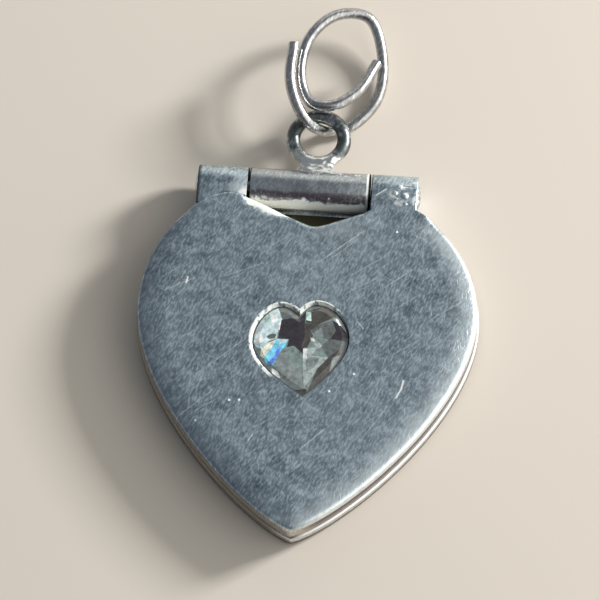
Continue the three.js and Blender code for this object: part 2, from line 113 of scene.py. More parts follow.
def moved_in(outline, distance):
    """The outline moved in, or out by a negative distance, without the loops that tight corners make."""
    points = np.array([point[:] for point in outline])
    before, after = np.roll(points, 1, 0), np.roll(points, -1, 0)
    first, second = points - before, after - points
    first /= np.linalg.norm(first, axis=1)[:, None]
    second /= np.linalg.norm(second, axis=1)[:, None]
    inward = np.stack([-first[:, 1] - second[:, 1], first[:, 0] + second[:, 0]], 1)
    inward /= np.linalg.norm(inward, axis=1)[:, None]
    slant = np.maximum(LEAST_SLANT, -inward[:, 0] * first[:, 1] + inward[:, 1] * first[:, 0])
    moved = points + inward * (distance / slant)[:, None]
    moved = moved[distances(moved, points) > abs(distance) * LEAST_MOVE]
    return uncrossed([Vector(point) for point in moved])


def mode(kind):
    """Opens the active piece for editing, or closes it again."""
    bpy.ops.object.mode_set(mode=kind)


def fixed():
    """Makes the selected object's place, turn and scale part of its mesh, and gives the object back."""
    bpy.ops.object.transform_apply(location=True, rotation=True, scale=True)
    return bpy.context.object


def only(piece):
    """Selects this one piece and makes it the active one."""
    bpy.ops.object.select_all(action="DESELECT")
    piece.select_set(True)
    bpy.context.view_layer.objects.active = piece


def drawn_out(name, places, way):
    """A bar or plate: a disc whose rim is led through these places, then drawn out this way."""
    bpy.ops.mesh.primitive_circle_add(vertices=len(places), fill_type="NGON")
    piece = bpy.context.object
    piece.name = name
    for vertex, place in zip(piece.data.vertices, places):
        vertex.co = place
    mode("EDIT")
    bpy.ops.mesh.select_all(action="SELECT")
    bpy.ops.mesh.extrude_region_move(TRANSFORM_OT_translate={"value": way})
    bpy.ops.mesh.select_all(action="SELECT")
    bpy.ops.mesh.normals_make_consistent(inside=False)
    mode("OBJECT")
    return piece


def slab(name, outline, low, high):
    """A level plate with this outline, from one height to another."""
    return drawn_out(name, [(point.x, point.y, low) for point in outline], (0, 0, high - low))


def pick(piece, kind, wanted):
    """Selects those of a piece's faces or edges that are wanted, and opens it for editing."""
    only(piece)
    mode("EDIT")
    bpy.ops.mesh.select_mode(type=kind)
    bpy.ops.mesh.select_all(action="DESELECT")
    mode("OBJECT")
    for part in piece.data.edges if kind == "EDGE" else piece.data.polygons:
        part.select = wanted(part)
    mode("EDIT")


def rounded_rim(piece, height, radius):
    """Rounds the rim of a plate's face at this height."""
    corners = piece.data.vertices
    pick(piece, "EDGE", lambda edge: all(abs(corners[i].co.z - height) < 1e-4 for i in edge.vertices))
    bpy.ops.mesh.bevel(offset=radius, segments=ROUND_STEPS, affect="EDGES", clamp_overlap=True)
    mode("OBJECT")
    return piece


def block(low, high):
    """A box between two corners, to cut or join with."""
    middle = [(a + b) / 2 for a, b in zip(low, high)]
    bpy.ops.mesh.primitive_cube_add(size=1, location=middle)
    bpy.ops.transform.resize(value=[b - a for a, b in zip(low, high)])
    return fixed()


def rod(name, radius, start, end, sides=96):
    """A cylinder on the hinge's axis."""
    bpy.ops.mesh.primitive_cylinder_add(
        vertices=sides, radius=radius, depth=end - start,
        location=((start + end) / 2, AXIS_Y, AXIS_Z), rotation=(0, math.pi / 2, 0))
    piece = fixed()
    piece.name = name
    return piece


def worked(piece, operation, *tools):
    """Cuts the tools from the piece, or joins them to it."""
    for tool in tools:
        only(piece)
        step = piece.modifiers.new("work", "BOOLEAN")
        step.operation, step.solver, step.object = operation, "EXACT", tool
        bpy.ops.object.modifier_apply(modifier=step.name)
        bpy.data.objects.remove(tool)
    return piece


def eased(piece, width, segments=2, angle=40):
    """Takes the sharpness off every edge that is steeper than the angle."""
    only(piece)
    step = piece.modifiers.new("ease", "BEVEL")
    step.width, step.segments, step.limit_method = width, segments, "ANGLE"
    step.angle_limit = math.radians(angle)
    bpy.ops.object.modifier_apply(modifier=step.name)
    return piece


def settle(piece, body, slot, finish, *nodes, smooth=35):
    """Brings a finished piece from millimetres to metres and hands it over."""
    only(piece)
    mode("EDIT")
    bpy.ops.mesh.select_all(action="SELECT")
    bpy.ops.mesh.remove_doubles(threshold=SAME_PLACE)
    bpy.ops.mesh.normals_make_consistent(inside=False)
    mode("OBJECT")
    piece.scale = (0.001, 0.001, 0.001)
    fixed()
    bpy.ops.object.shade_smooth_by_angle(angle=math.radians(smooth))
    piece.data.materials.clear()
    piece.data.materials.append(finish)
    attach(piece, body)
    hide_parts(*nodes)
    return piece


MARK_STRENGTH, MARK_DEPTH = 0.35, 0.00003


class Nodes:
    """The nodes of a material or of the room."""

    def __init__(self, owner):
        owner.use_nodes = True
        self.tree = owner.node_tree

    def add(self, kind, *inputs, **settings):
        """A new node, with its first inputs linked or set."""
        node = self.tree.nodes.new(kind)
        for key, value in settings.items():
            setattr(node, key, value)
        for socket, value in zip(node.inputs, inputs):
            self.feed(socket, value)
        return node

    def feed(self, socket, value):
        """Links another node's output to a socket, or sets the socket's own value."""
        if value is None:
            return
        if isinstance(value, bpy.types.NodeSocket):
            self.tree.links.new(value, socket)
        else:
            socket.default_value = value

    def ramp(self, value, low, high):
        """0 at the low value, 1 at the high one, and smooth between them."""
        return self.add("ShaderNodeMapRange", value, low, high, interpolation_type="SMOOTHSTEP").outputs[0]

    def blend(self, share, first, second, kind="FLOAT"):
        """The first value where the share is 0, and the second where it is 1."""
        made = self.add("ShaderNodeMix", data_type=kind)
        for name, value in (("Factor", share), ("A", first), ("B", second)):
            self.feed(made.inputs[name], value)
        return made.outputs["Result"]


class Sheet(Nodes):
    """A material's nodes, with coordinates in millimetres on the piece."""

    def __init__(self, name):
        self.material = bpy.data.materials.new(name)
        super().__init__(self.material)
        metres = self.add("ShaderNodeTexCoord").outputs["Object"]
        millimetres = self.add("ShaderNodeVectorMath", metres, (1000, 1000, 1000), operation="MULTIPLY")
        self.place = millimetres.outputs[0]
        self.x, self.y, self.z = self.add("ShaderNodeSeparateXYZ", self.place).outputs

    def math(self, operation, a, b=None, c=None):
        """One step of arithmetic."""
        return self.add("ShaderNodeMath", a, b, c, operation=operation).outputs[0]

    def scaled(self, value, factor, more):
        """The value times the factor, and more added."""
        return self.math("MULTIPLY_ADD", value, factor, more)

    def cloud(self, scale, detail=3.0, rough=0.55, place=None):
        """Cloudiness, with this many clouds to the millimetre."""
        made = self.add("ShaderNodeTexNoise")
        self.feed(made.inputs["Vector"], place or self.place)
        made.inputs["Scale"].default_value = scale
        made.inputs["Detail"].default_value = detail
        made.inputs["Roughness"].default_value = rough
        return made.outputs["Fac"]

    def along(self, axis, low, high):
        """0 at the low place on an axis, 1 at the high one, and smooth between them."""
        return self.ramp(getattr(self, axis), low, high)

    def fibres(self, angle, length, width, detail=1.0):
        """Cloudiness drawn out at an angle across the face."""
        turned = self.add("ShaderNodeMapping", vector_type="TEXTURE")
        self.feed(turned.inputs["Vector"], self.place)
        turned.inputs["Rotation"].default_value = (0, 0, math.radians(angle))
        turned.inputs["Scale"].default_value = (length, width, width * 3)
        return self.cloud(1.0, detail, 0.5, turned.outputs[0])

    def streaks(self, angle, length, width, low, high):
        """Separate marks that run at an angle across the face."""
        return self.ramp(self.fibres(angle, length, width), low, high)

    def product(self, first, *others):
        """All the values multiplied together."""
        for other in others:
            first = self.math("MULTIPLY", first, other)
        return first

    def most(self, first, *others):
        """The largest of the values."""
        for other in others:
            first = self.math("MAXIMUM", first, other)
        return first

    def near(self, place, inner, outer, ragged=0.0):
        """1 close to a place and 0 further off, with a ragged border."""
        away = self.add("ShaderNodeVectorMath", self.place, place, operation="DISTANCE").outputs["Value"]
        if ragged:
            away = self.math("ADD", away, -ragged / 2)
            away = self.scaled(self.cloud(2.2, 4.0, 0.65), ragged, away)
        return self.ramp(away, outer, inner)

    def scratch(self, start, end, width):
        """1 along a straight scratch between two places on the face."""
        run = Vector(end) - Vector(start)
        turned = self.add("ShaderNodeMapping", vector_type="TEXTURE")
        self.feed(turned.inputs["Vector"], self.place)
        turned.inputs["Location"].default_value = (*((Vector(start) + Vector(end)) / 2), 0)
        turned.inputs["Rotation"].default_value = (0, 0, math.atan2(run.y, run.x))
        turned.inputs["Scale"].default_value = (run.length / 2, width, 1)
        along, across = self.add("ShaderNodeSeparateXYZ", turned.outputs[0]).outputs[:2]
        along = self.ramp(self.math("ABSOLUTE", along), 1.0, 0.8)
        return self.product(along, self.ramp(self.math("ABSOLUTE", across), 1.0, 0.3))

    def shown(self, looks):
        """Links or sets the shader's sockets, and gives back the material."""
        shader = self.tree.nodes["Principled BSDF"]
        for name, value in looks.items():
            self.feed(shader.inputs[name], value)
        return self.material


class Silver(Sheet):
    """Silver with cloudy tarnish, short flecks and fine handling scratches."""

    def __init__(self, name, dark, light, rough, mottle=1.0, flecks=1.0, scratches=1.0):
        super().__init__(name)
        drift, clouds = self.cloud(0.2, 2.0), self.cloud(1.0, 3.0, 0.6)
        grain = self.fibres(66, 0.38, 0.15, 4.0)
        clumps = self.ramp(self.cloud(0.6, 2.0), 0.34, 0.62)
        short = self.most(*[self.streaks(angle, 0.55, 0.14, 0.60, 0.76) for angle in (48, 70, 96)])
        thin = self.most(self.streaks(35, 5.0, 0.10, 0.72, 0.80), self.streaks(-24, 3.5, 0.09, 0.74, 0.82))
        marks = self.most(self.product(short, clumps, flecks), self.product(thin, scratches))
        shade = self.scaled(drift, 0.5 * mottle, 0.42 - 0.6 * mottle)
        shade = self.scaled(clouds, 0.7 * mottle, shade)
        shade = self.scaled(self.ramp(grain, 0.40, 0.82), 0.85 * mottle, shade)
        shade = self.math("ADD", shade, -0.15 * mottle)
        shade = self.scaled(self.cloud(7.0, 2.0), 0.3 * mottle, shade)
        shade = self.scaled(marks, 0.42, shade)
        self.colour = self.blend(shade, (*dark, 1), (*light, 1), "RGBA")
        self.rough = self.scaled(clouds, 0.24, rough - 0.12)
        self.metal = 1.0
        self.height = self.scaled(marks, -0.5, self.math("ADD", clouds, grain))

    def laid(self, masks, colour, rough, metal=1.0):
        """Lays another colour and gloss over the silver where all the masks are 1."""
        mask = self.product(*masks)
        self.colour = self.blend(mask, self.colour, (*colour, 1), "RGBA")
        self.rough = self.blend(mask, self.rough, rough)
        self.metal = self.blend(mask, self.metal, metal)

    def finished(self):
        """Feeds the shader and gives back the material."""
        relief = self.add("ShaderNodeBump")
        relief.inputs["Strength"].default_value = MARK_STRENGTH
        relief.inputs["Distance"].default_value = MARK_DEPTH
        self.feed(relief.inputs["Height"], self.height)
        return self.shown({"Base Color": self.colour, "Roughness": self.rough, "Metallic": self.metal,
                           "Normal": relief.outputs[0]})


DARK_SATIN, LIGHT_SATIN = (0.115, 0.165, 0.195), (0.66, 0.77, 0.83)
CLEFT_SHADE, EDGE_SHADE = (0.10, 0.085, 0.05), (0.17, 0.16, 0.15)
sheet_silver = Silver("satin_silver_painted_shade_in_the_cleft", DARK_SATIN, LIGHT_SATIN, 0.40)
# Painted shade: the tab in the cleft under the middle knuckle is painted dark brown, and the plate's side is
# painted darker.
sheet_silver.laid([sheet_silver.along("y", 9.0, 11.0), sheet_silver.along("z", 0.5, 0.68)], CLEFT_SHADE, 0.5)
sheet_silver.laid([sheet_silver.along("z", 0.02, 0.12), sheet_silver.along("z", 0.66, 0.60)], EDGE_SHADE, 0.4)

heart = heart_outline(HEART, LEFT_HALF, SIDE_STEPS)
back_heart = moved_in(heart, -BACK_PROUD)
back_plate = rounded_rim(slab("back_plate_sheet", back_heart, 0, BACK_PLATE), 0, BACK_ROUND)
worked(back_plate, "UNION", block((MIDDLE_START, TAB_ROOT_Y, 0), (MIDDLE_END, TAB_Y, BACK_PLATE)))
worked(back_plate, "DIFFERENCE", block((LEFT_END, TAB_Y, -FAR), (RIGHT_START, FAR, FAR)),
       rod("relief", TUBE + RELIEF, -FAR, FAR))
eased(back_plate, FILED)
settle(back_plate, "back_cover", "satin_silver", sheet_silver.finished(), "back_plate")

# Back wall: a low strip of silver bent to the heart and soldered round the back plate.
# It stands a hair proud of the front cover; its shoulder on the right carries a painted highlight, and its
# left side is painted duller, as painted shade.
SEAM_Z, WALL, TOP_Z = 1.3, 0.6, 3.1
SHOULDER_ROUND = 0.25
DARK_POLISH, LIGHT_POLISH = (0.40, 0.41, 0.41), (0.90, 0.91, 0.90)
# A near-white for bright scratches and dents, and also for painted highlights.
SHADED_SIDE, WHITE_RUB_AND_HIGHLIGHT = (0.36, 0.325, 0.27), (0.97, 0.98, 0.95)
shoulder_silver = Silver("shoulder_silver", DARK_POLISH, LIGHT_POLISH, 0.20, 0.6, 0.3, 0.6)
# Painted shade on the left side, and a painted highlight along the right side's shoulder.
shoulder_silver.laid([shoulder_silver.along("x", 0.0, -2.0)], SHADED_SIDE, 0.30)
lit_shoulder = [shoulder_silver.along("x", -0.3, 1.2), shoulder_silver.along("z", 1.02, 1.12)]
shoulder_silver.laid(lit_shoulder, WHITE_RUB_AND_HIGHLIGHT, 0.2, 0.15)
inner_heart = moved_in(heart, WALL)
back_wall = rounded_rim(slab("back_wall_strip", back_heart, BACK_PLATE, SEAM_Z), SEAM_Z, SHOULDER_ROUND)
worked(back_wall, "DIFFERENCE", slab("hollow", inner_heart, 0, TOP_Z),
       rod("relief", TUBE + RELIEF, -FAR, FAR))
settle(back_wall, "back_cover", "polished_silver", shoulder_silver.finished(), "back_wall")

# Bearer: a strip inside the walls that keeps the closed halves in line.
# It is soldered to the back plate, and a low ridge at the tip snaps into the front cover.
BEARER_GAP, BEARER, BEARER_TOP, BEARER_EASE = 0.15, 0.5, 2.05, 0.05
BEARER_END_Y = AXIS_Y - 4.6
RIDGE, RIDGE_HALF, RIDGE_LOW, RIDGE_HIGH = 0.1, 1.2, BEARER_TOP - 0.5, BEARER_TOP - 0.2
satin = Silver("worn_satin_silver", (0.24, 0.26, 0.265), (0.80, 0.83, 0.84), 0.38)
outside = WALL + BEARER_GAP
bearer = slab("bearer_strip", moved_in(heart, outside), BACK_PLATE, BEARER_TOP)
ridge = slab("ridge", moved_in(heart, outside - RIDGE), RIDGE_LOW, RIDGE_HIGH)
worked(ridge, "INTERSECT", block((-RIDGE_HALF, -FAR, 0), (RIDGE_HALF, 0, TOP_Z)))
worked(bearer, "UNION", ridge)
worked(bearer, "DIFFERENCE", slab("hollow", moved_in(heart, outside + BEARER), 0, TOP_Z),
       block((-FAR, BEARER_END_Y, 0), (FAR, FAR, TOP_Z)))
eased(bearer, BEARER_EASE)
settle(bearer, "back_cover", "satin_silver", satin.finished(), "bearer")

# Picture frame and window: a thin sprung rim that holds a clear sheet over the picture.
# The sheet lies on the back plate, and the rim's lip laps over it.
FRAME_INSET, FRAME_WALL, FRAME_LIP, LIP = 1.5, 0.22, 0.8, 0.14
WINDOW, WINDOW_GAP, THIN_EASE = 0.25, 0.04, 0.03
under_lip = BACK_PLATE + WINDOW + WINDOW_GAP
pocket = FRAME_INSET + FRAME_WALL
polished = Silver("polished_silver", DARK_POLISH, LIGHT_POLISH, 0.20, 0.6, 0.3, 0.6)
picture_frame = slab("picture_frame_rim", moved_in(heart, FRAME_INSET), BACK_PLATE, under_lip + LIP)
worked(picture_frame, "DIFFERENCE", slab("pocket", moved_in(heart, pocket), 0, under_lip),
       slab("opening", moved_in(heart, pocket + FRAME_LIP), 0, TOP_Z))
eased(picture_frame, THIN_EASE)
settle(picture_frame, "back_cover", "polished_silver", polished.finished(), "picture_frame")

clear_sheet = Sheet("clear_window_sheet")
haze = clear_sheet.most(clear_sheet.streaks(20, 2.5, 0.08, 0.62, 0.8),
                        clear_sheet.streaks(-50, 3, 0.07, 0.66, 0.8))
haze = clear_sheet.scaled(haze, 0.3, 0.06)
clear = clear_sheet.shown({"Base Color": (0.93, 0.95, 0.95, 1), "Alpha": 0.22, "IOR": 1.46,
                           "Roughness": haze})
window = slab("picture_window_sheet", moved_in(heart, pocket + WINDOW_GAP), BACK_PLATE, BACK_PLATE + WINDOW)
eased(window, THIN_EASE)
settle(window, "back_cover", "clear_sheet", clear, "picture_window")

# Middle knuckle: a length of thick silver tube with a short web, soldered to the back plate's tab.
# Rubbing has polished it, and a flat is filed on its far side for the bail loop's foot.
BORE, TUBE_EASE = 0.58, 0.05
LOOP_X, LOOP_Y, LOOP, LOOP_WIRE = -0.2, 17.86, 1.83, 0.5
FLAT_Y, FLAT_HALF = AXIS_Y + 1.25, 1.8
GRIME_AND_DARK_REFLECTION, CREAM_HIGHLIGHT, SLIT_SHADE = (0.23, 0.195, 0.22), (0.95, 0.97, 0.90), (0.02, 0.02, 0.02)


def along_x(name, line, start, end):
    """A bar with this outline in Y and Z, from one place along the hinge to another."""
    return drawn_out(name, [(start, y, z) for y, z in line], (end - start, 0, 0))


def tube_arc(first, last, steps=80):
    """Points round the hinge tube, from one angle to another."""
    angles = [math.radians(first + (last - first) * step / steps) for step in range(steps + 1)]
    return [(AXIS_Y + TUBE * math.cos(angle), AXIS_Z + TUBE * math.sin(angle)) for angle in angles]


web_angle = 180 + math.degrees(math.asin((AXIS_Z - BACK_PLATE) / TUBE))
line = [(TAB_Y, AXIS_Z - TUBE)] + tube_arc(-90, web_angle) + [(TAB_Y, BACK_PLATE)]
middle = along_x("middle_knuckle_tube", line, MIDDLE_START, MIDDLE_END)
worked(middle, "DIFFERENCE", rod("bore", BORE, -FAR, FAR, 48),
       block((LOOP_X - FLAT_HALF, FLAT_Y, AXIS_Z - TUBE), (LOOP_X + FLAT_HALF, FAR, AXIS_Z + TUBE)))
eased(middle, TUBE_EASE)
tube_silver = Silver("dirty_tube_silver_with_painted_light", (0.25, 0.27, 0.285), (0.74, 0.78, 0.80), 0.27, 0.8, 0.3, 1.0)
# A dark streaky band on the tube's front is grime and a painted dark reflection; the cream band below it and
# a thin cream line near its right end are painted highlights.
flank = tube_silver.math("ADD", tube_silver.y, -0.25)
flank = tube_silver.scaled(tube_silver.cloud(1.1, 4.0, 0.6), 0.5, flank)
above = tube_silver.along("z", 1.4, 1.7)
specks = tube_silver.ramp(tube_silver.cloud(3.4, 3.0, 0.6), 0.50, 0.60)
unspecked = tube_silver.scaled(specks, -0.75, 1.0)
grime_and_reflection_band = [tube_silver.ramp(flank, 12.56, 12.66), tube_silver.ramp(flank, 13.22, 13.02), above, unspecked]
tube_silver.laid(grime_and_reflection_band, GRIME_AND_DARK_REFLECTION, 0.40)
tube_silver.laid([tube_silver.ramp(flank, 12.66, 12.56), above], CREAM_HIGHLIGHT, 0.40, 0.0)
tube_silver.laid([tube_silver.along("x", 3.50, 3.56), above], CREAM_HIGHLIGHT, 0.30, 0.4)
# Painted shade: the middle knuckle's ends beside the slits are painted black.
for end, within in ((MIDDLE_START, 0.09), (MIDDLE_END, -0.13)):
    tube_silver.laid([tube_silver.along("x", end + within, end + within / 2)], SLIT_SHADE, 0.5)
# Two small white spots are painted glints.
tube_silver.laid([tube_silver.near((0.9, 12.85, 2.7), 0.04, 0.10)], WHITE_RUB_AND_HIGHLIGHT, 0.2, 0.2)
tube_silver.laid([tube_silver.near((-0.9, 12.75, 2.6), 0.10, 0.22, 0.2)], WHITE_RUB_AND_HIGHLIGHT, 0.3, 0.2)
settle(middle, "back_cover", "polished_silver", tube_silver.finished(), "middle_knuckle")

# Bail loop: a closed loop of round wire on a lump of solder, in the plane of the heart.
# Heat and handling have left it darker than the case, with bright drips of solder at its foot.
FOOT, FOOT_TOP, FOOT_HEIGHT, FOOT_FLATTENING = 1.62, 0.95, 1.25, 0.40
GRAIN, FOOT_LUMPS, WIRE_LUMPS = 0.06, ((1.7, 0.07), (4.1, 0.04)), (0.9, 0.02)
LUMPY_BELOW, LUMPY_OVER, LEFT_FLAT = 0.9, 1.2, 0.1
SCALE, BRIGHT_SOLDER = (0.07, 0.085, 0.08), (0.88, 0.88, 0.85)
bpy.ops.mesh.primitive_torus_add(major_radius=LOOP, minor_radius=LOOP_WIRE, major_segments=96,
                                 minor_segments=32, location=(LOOP_X, LOOP_Y, AXIS_Z))
bail = bpy.context.object
bail.name = "bail_loop_wire"
bpy.ops.mesh.primitive_cone_add(
    vertices=64, radius1=FOOT, radius2=FOOT_TOP, depth=FOOT_HEIGHT,
    location=(LOOP_X, FLAT_Y + FOOT_HEIGHT / 2, AXIS_Z), rotation=(-math.pi / 2, 0, 0))
bpy.ops.transform.resize(value=(1, 1, FOOT_FLATTENING))
foot = bpy.context.object
only(bail)
foot.select_set(True)
bpy.ops.object.join()
fixed()
bail.data.remesh_voxel_size = GRAIN
bpy.ops.object.voxel_remesh()
ways_out = [vertex.normal.copy() for vertex in bail.data.vertices]
for vertex, way_out in zip(bail.data.vertices, ways_out):
    low_share = min(1, max(0, (LOOP_Y - LUMPY_BELOW - vertex.co.y) / LUMPY_OVER))
    lump = sum(noise.noise(vertex.co * scale) * height for scale, height in FOOT_LUMPS)
    lump = lump * low_share + noise.noise(vertex.co * WIRE_LUMPS[0]) * WIRE_LUMPS[1]
    if vertex.co.y > FLAT_Y + LEFT_FLAT:
        vertex.co += way_out * lump
step = bail.modifiers.new("flow", "SMOOTH")
step.iterations, step.factor = 6, 0.5
only(bail)
bpy.ops.object.modifier_apply(modifier=step.name)
loop_silver = Silver("blotched_loop_silver", (0.12, 0.13, 0.135), (0.62, 0.65, 0.66), 0.30, 1.2, 0.2, 0.3)
blotches = loop_silver.ramp(loop_silver.cloud(0.9, 3.0, 0.6), 0.45, 0.55)
loop_silver.laid([blotches, 0.8], SCALE, 0.42)
foot_line = loop_silver.scaled(loop_silver.cloud(1.6, 3.0), 1.2, loop_silver.y)
loop_silver.laid([loop_silver.ramp(foot_line, 17.4, 16.9)], BRIGHT_SOLDER, 0.22)
settle(bail, "back_cover", "darkened_silver", loop_silver.finished(), "bail_loop", smooth=60)

# Front wall: the deeper strip of the front cover, bent to the heart and soldered under the plate.
# It is cut back at the hinge, for the webs of the outer knuckles and the turn of the middle one.
PLATE_Z, OVER_ALL = 2.4, 5.0
SEAT_Y = AXIS_Y - 1.9
PAST, WALL_EASE = 0.1, 0.02
DARK_REFLECTION_SIDE = (0.20, 0.165, 0.17)
# The strip's warm tan tones are a painted reflection of the floor, and its right side is painted darker, a
# painted dark reflection.
wall_silver = Silver("wall_silver", (0.36, 0.33, 0.29), (0.70, 0.65, 0.57), 0.22, 0.8, 0.3, 0.5)
wall_silver.laid([wall_silver.along("x", 0.3, 2.0)], DARK_REFLECTION_SIDE, 0.24)
front_wall = slab("front_wall_strip", heart, SEAM_Z, PLATE_Z)
worked(front_wall, "DIFFERENCE", slab("hollow", inner_heart, 0, TOP_Z),
       block((-FAR, SEAT_Y, 0), (LEFT_END, FAR, OVER_ALL)),
       block((RIGHT_START, SEAT_Y, 0), (FAR, FAR, OVER_ALL)),
       rod("hollow", TUBE + RELIEF, LEFT_END - PAST, RIGHT_START + PAST))
eased(front_wall, WALL_EASE)
settle(front_wall, "front_cover", "satin_silver", wall_silver.finished(), "front_wall")

# Front plate: the heart of thicker sheet that shows, satin from years of handling.
# Its edge is filed round and the outer few millimetres roll down a little towards it.
EDGE_ROUND, EDGE_STEPS = 0.3, 6
ROLL, ROLL_WIDTH, ROLL_STEPS = 0.25, 2.1, 14
SOLDER_DROP, SOLDER_WIDTH = 0.2, 0.85
SOLDER_Y, SOLDER_LEFT, SOLDER_RIGHT = (10.9, 11.3), (-5.3, -4.8), (-0.3, 0.5)
UNWORN_Y, CLEFT_Y, CLEFT_X = (10.8, 12.0), (8.5, 9.8), (3.0, 5.5)
FLUSH_Y, FLUSH_RIGHT, FLUSH_LEFT, LEFT_SHARE = (11.2, 11.9), (3.4, 3.9), (4.9, 5.3), 0.75
CENTRE = Vector((0, 1.2))
STONE = dict(width=6.75, height=6.85, widest=4.25, lobe_in=2.095, rise=0.0, cleft=0.75,
             tip_angle=52, tip_arm=1.1, side_arm=1.78, shoulder_arm=1.37, lobe_arm=0.88, cleft_arm=0.14)
STONE_X, STONE_Y, STONE_TURN, OPENING_STEPS = -0.2, 0.95, math.radians(6), 12
BEZEL, BEZEL_GAP, LEDGE, FLANGE, FLANGE_Z = 0.22, 0.05, 0.18, 0.45, 0.25
stone_heart = [Matrix.Rotation(STONE_TURN, 2) @ point + Vector((STONE_X, STONE_Y))
               for point in heart_outline(STONE, STONE, OPENING_STEPS)]
front_plate = slab("front_plate_sheet", heart, PLATE_Z, TOP_Z - EDGE_ROUND)
insets = [EDGE_ROUND * (1 - math.cos(math.pi / 2 * step / EDGE_STEPS)) for step in range(1, EDGE_STEPS + 1)]
insets += [EDGE_ROUND + ROLL_WIDTH * step / ROLL_STEPS for step in range(1, ROLL_STEPS + 1)]
pick(front_plate, "FACE", lambda face: face.normal.z > 0.9)
reach, rise = HEART["width"] / 2, EDGE_ROUND / len(insets)
drawn = 0.0
for step, inset in enumerate(insets):
    ratio = (reach - inset) / (reach - drawn)
    level = TOP_Z - EDGE_ROUND + rise * (step + 1)
    bpy.ops.mesh.extrude_region_move(TRANSFORM_OT_translate={"value": (0, 0, rise)})
    bpy.ops.transform.resize(value=(ratio, ratio, 1), center_override=(CENTRE.x, CENTRE.y, level))
    drawn = inset
mode("OBJECT")


def share_of(value, low, high):
    """0 below the low value, 1 above the high one, and smooth between them."""
    share = min(1, max(0, (value - low) / (high - low)))
    return share * share * (3 - 2 * share)


def soldered(x, y, distance):
    """1 at the edge beside the middle knuckle, where solder has run, and 0 further in."""
    beside = share_of(y, *SOLDER_Y) * share_of(x, *SOLDER_LEFT) * share_of(-x, *SOLDER_RIGHT)
    return max(0, 1 - distance / SOLDER_WIDTH) * beside


def worn_height(x, y, distance):
    """The face's height: rounded at the edge, worn down beside it, flush where the hinge is soldered."""
    at_hinge = max(share_of(y, *UNWORN_Y), share_of(y, *CLEFT_Y) * (1 - share_of(abs(x), *CLEFT_X)))
    worn = ROLL * max(0, 1 - distance / ROLL_WIDTH) ** 2 * (1 - at_hinge)
    rounded = EDGE_ROUND - math.sqrt(EDGE_ROUND ** 2 - (EDGE_ROUND - min(distance, EDGE_ROUND)) ** 2)
    sunk = SOLDER_DROP * soldered(x, y, distance)
    flush = max(share_of(x, *FLUSH_RIGHT), LEFT_SHARE * share_of(-x, *FLUSH_LEFT)) * share_of(y, *FLUSH_Y)
    return TOP_Z - worn - sunk - rounded * (1 - flush)


face_points = [vertex for vertex in front_plate.data.vertices if vertex.co.z > PLATE_Z + 0.001]
for vertex, distance in zip(face_points, distances([vertex.co[:2] for vertex in face_points], heart)):
    vertex.co.z = worn_height(vertex.co.x, vertex.co.y, distance)
worked(front_plate, "DIFFERENCE",
       slab("opening", moved_in(stone_heart, -BEZEL - 2 * BEZEL_GAP), 0, OVER_ALL),
       rod("hollow", TUBE + RELIEF, LEFT_END, RIGHT_START))
LIT_EDGE, DIM_EDGE, DULL_SOLDER = (0.90, 0.97, 0.99), (0.16, 0.20, 0.28), (0.84, 0.87, 0.80)
plate_silver = Silver("worn_plate_silver_with_painted_light", DARK_SATIN, LIGHT_SATIN, 0.40, 1.2, 1.0, 1.7)
plate_face = plate_silver.along("z", PLATE_Z + 0.1, PLATE_Z + 0.2)
# Painted light: along the worn edge the plate is painted lighter on the right side, a painted highlight, and
# darker on the left, painted shade.
worn_edge_light = plate_silver.add("ShaderNodeAttribute", attribute_name="worn_edge_light").outputs["Fac"]
streaky = plate_silver.scaled(plate_silver.fibres(66, 0.6, 0.3, 3.0), 1.6, 0.2)
worn_edge_light = plate_silver.product(worn_edge_light, streaky)
lit, shaded = plate_silver.along("x", -1.3, 2.5), plate_silver.along("x", -1.0, -4.0)
plate_silver.laid([worn_edge_light, lit], LIT_EDGE, 0.36)
plate_silver.laid([worn_edge_light, shaded, 0.6], DIM_EDGE, 0.36)
DENTS = ((-7.2, -4.75), (-4.95, -3.1), (-4.25, -3.05), (2.0, -2.0), (3.65, -0.6), (5.95, 10.4), (-8.65, 5.75))
for x, y in DENTS:
    plate_silver.laid([plate_silver.near((x, y, TOP_Z), 0.05, 0.13)], WHITE_RUB_AND_HIGHLIGHT, 0.3, 0.0)

# Each scratch on the plate has its two ends, its width and its strength.
SCRATCHES = (((7.15, -0.8), (7.0, -1.6), 0.10, 1.0), ((7.02, -1.5), (6.65, -2.3), 0.08, 1.0),
             ((0.15, -6.6), (1.95, -4.75), 0.05, 0.5), ((-8.7, 5.5), (-8.6, 6.1), 0.08, 1.0),
             ((-3.4, -6.1), (-3.1, -5.5), 0.07, 0.6), ((3.6, 3.4), (4.1, 2.8), 0.05, 0.6),
             ((0.96, 8.1), (3.65, 10.4), 0.05, 0.5), ((1.5, 8.15), (3.3, 9.75), 0.04, 0.4),
             ((-7.4, -1.3), (-4.1, 1.65), 0.045, 0.4), ((-6.1, 6.2), (-3.2, 7.5), 0.045, 0.35),
             ((-10.4, 4.8), (-8.0, 6.05), 0.05, 0.4), ((4.2, -5.9), (6.3, -2.65), 0.045, 0.35),
             ((5.15, 5.95), (7.4, 7.7), 0.045, 0.4), ((-8.9, -4.9), (-5.9, -2.2), 0.045, 0.35),
             ((3.6, 2.95), (5.85, 4.7), 0.04, 0.3), ((-3.5, -5.2), (-0.15, -3.4), 0.04, 0.3))
for start, end, width, strength in SCRATCHES:
    plate_silver.laid([plate_silver.scratch(start, end, width), plate_face, strength],
                      WHITE_RUB_AND_HIGHLIGHT, 0.3, 0.2)
solder = plate_silver.add("ShaderNodeAttribute", attribute_name="solder").outputs["Fac"]
solder = plate_silver.scaled(plate_silver.cloud(2.4, 4.0, 0.65), 1.0, solder)
